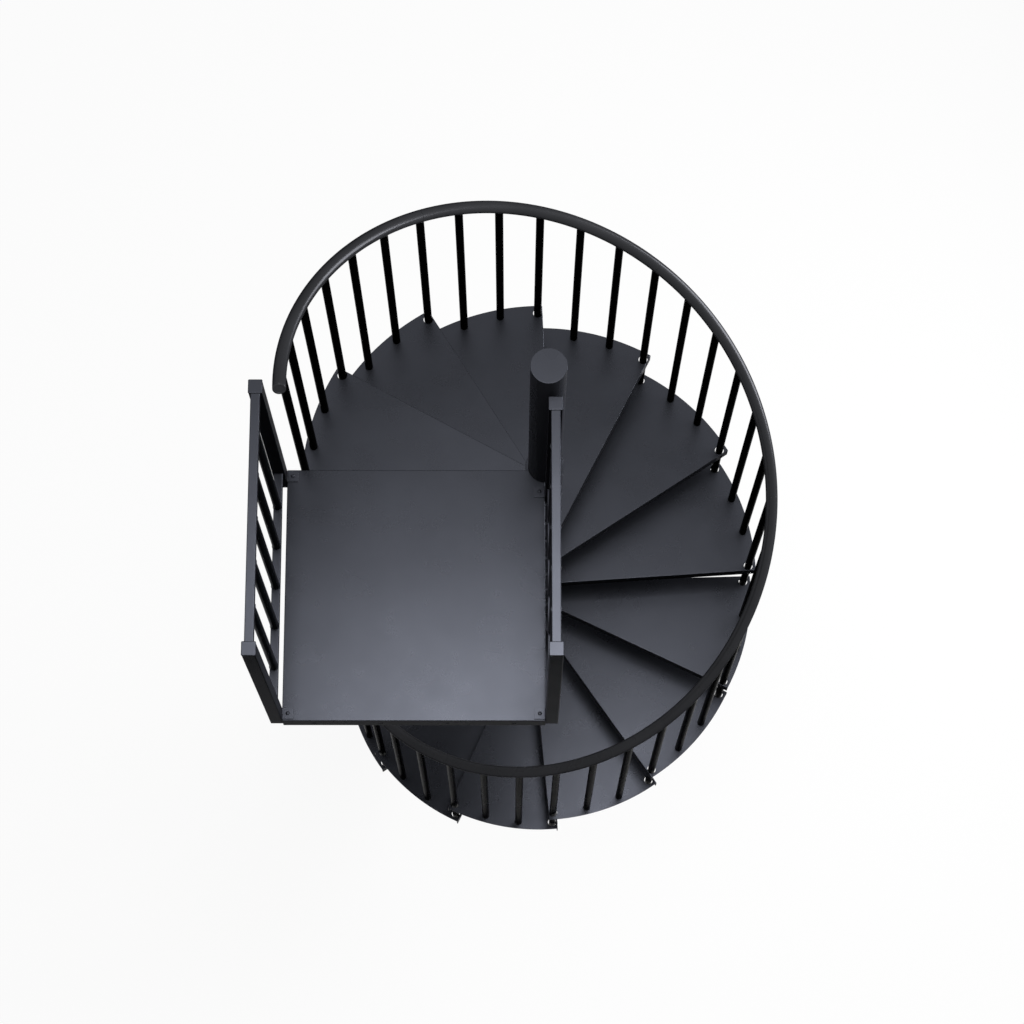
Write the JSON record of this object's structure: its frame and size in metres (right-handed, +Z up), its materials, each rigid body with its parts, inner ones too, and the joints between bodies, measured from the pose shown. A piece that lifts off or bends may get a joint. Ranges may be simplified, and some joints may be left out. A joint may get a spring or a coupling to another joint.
{
  "type": "spiral staircase",
  "caption": "Spiral staircase of folded steel treads around a round column, with a square landing, side rails, round balusters and a winding tube handrail.",
  "frame": {"origin": "centre of the base plate's underside, on the column's axis, at the level of the lower floor", "axes": "+Z up along the column; the landing lies towards -X and -Y; people come onto it across its -Y edge, step off it over its +Y edge and go down clockwise seen from above"},
  "size_m": [1.5868, 1.5525, 3.9745],
  "materials": {
    "tread_paint": "black powder coat, satin",
    "deck_paint": "black powder coat, satin",
    "handrail_paint": "black powder coat, satin",
    "baluster_paint": "black powder coat, satin",
    "column_paint": "black powder coat, satin",
    "side_rail_paint": "black powder coat, satin"
  },
  "bodies": {
    "root": {"balusters_01": "baluster_paint", "balusters_02": "baluster_paint", "balusters_03": "baluster_paint", "balusters_04": "baluster_paint", "balusters_05": "baluster_paint", "balusters_06": "baluster_paint", "balusters_07": "baluster_paint", "balusters_08": "baluster_paint", "balusters_09": "baluster_paint", "balusters_10": "baluster_paint", "balusters_11": "baluster_paint", "balusters_12": "baluster_paint", "base_plate": "column_paint", "center_column": "column_paint", "column_cap": "column_paint", "handrail_1": "handrail_paint", "handrail_2": "handrail_paint", "handrail_3": "handrail_paint", "handrail_4": "handrail_paint", "handrail_5": "handrail_paint", "handrail_6": "handrail_paint", "handrail_bottom_plug": "handrail_paint", "handrail_top_plug": "handrail_paint", "hub_sleeves": "column_paint", "landing_baluster": "baluster_paint", "landing_deck": "deck_paint", "left_back_post": "side_rail_paint", "left_front_post": "side_rail_paint", "left_rail_panel": "side_rail_paint", "right_back_post": "side_rail_paint", "right_front_post": "side_rail_paint", "right_rail_panel": "side_rail_paint", "tread_01": "tread_paint", "tread_02": "tread_paint", "tread_03": "tread_paint", "tread_04": "tread_paint", "tread_05": "tread_paint", "tread_06": "tread_paint", "tread_07": "tread_paint", "tread_08": "tread_paint", "tread_09": "tread_paint", "tread_10": "tread_paint", "tread_11": "tread_paint", "tread_12": "tread_paint"}
  },
  "joints": []
}
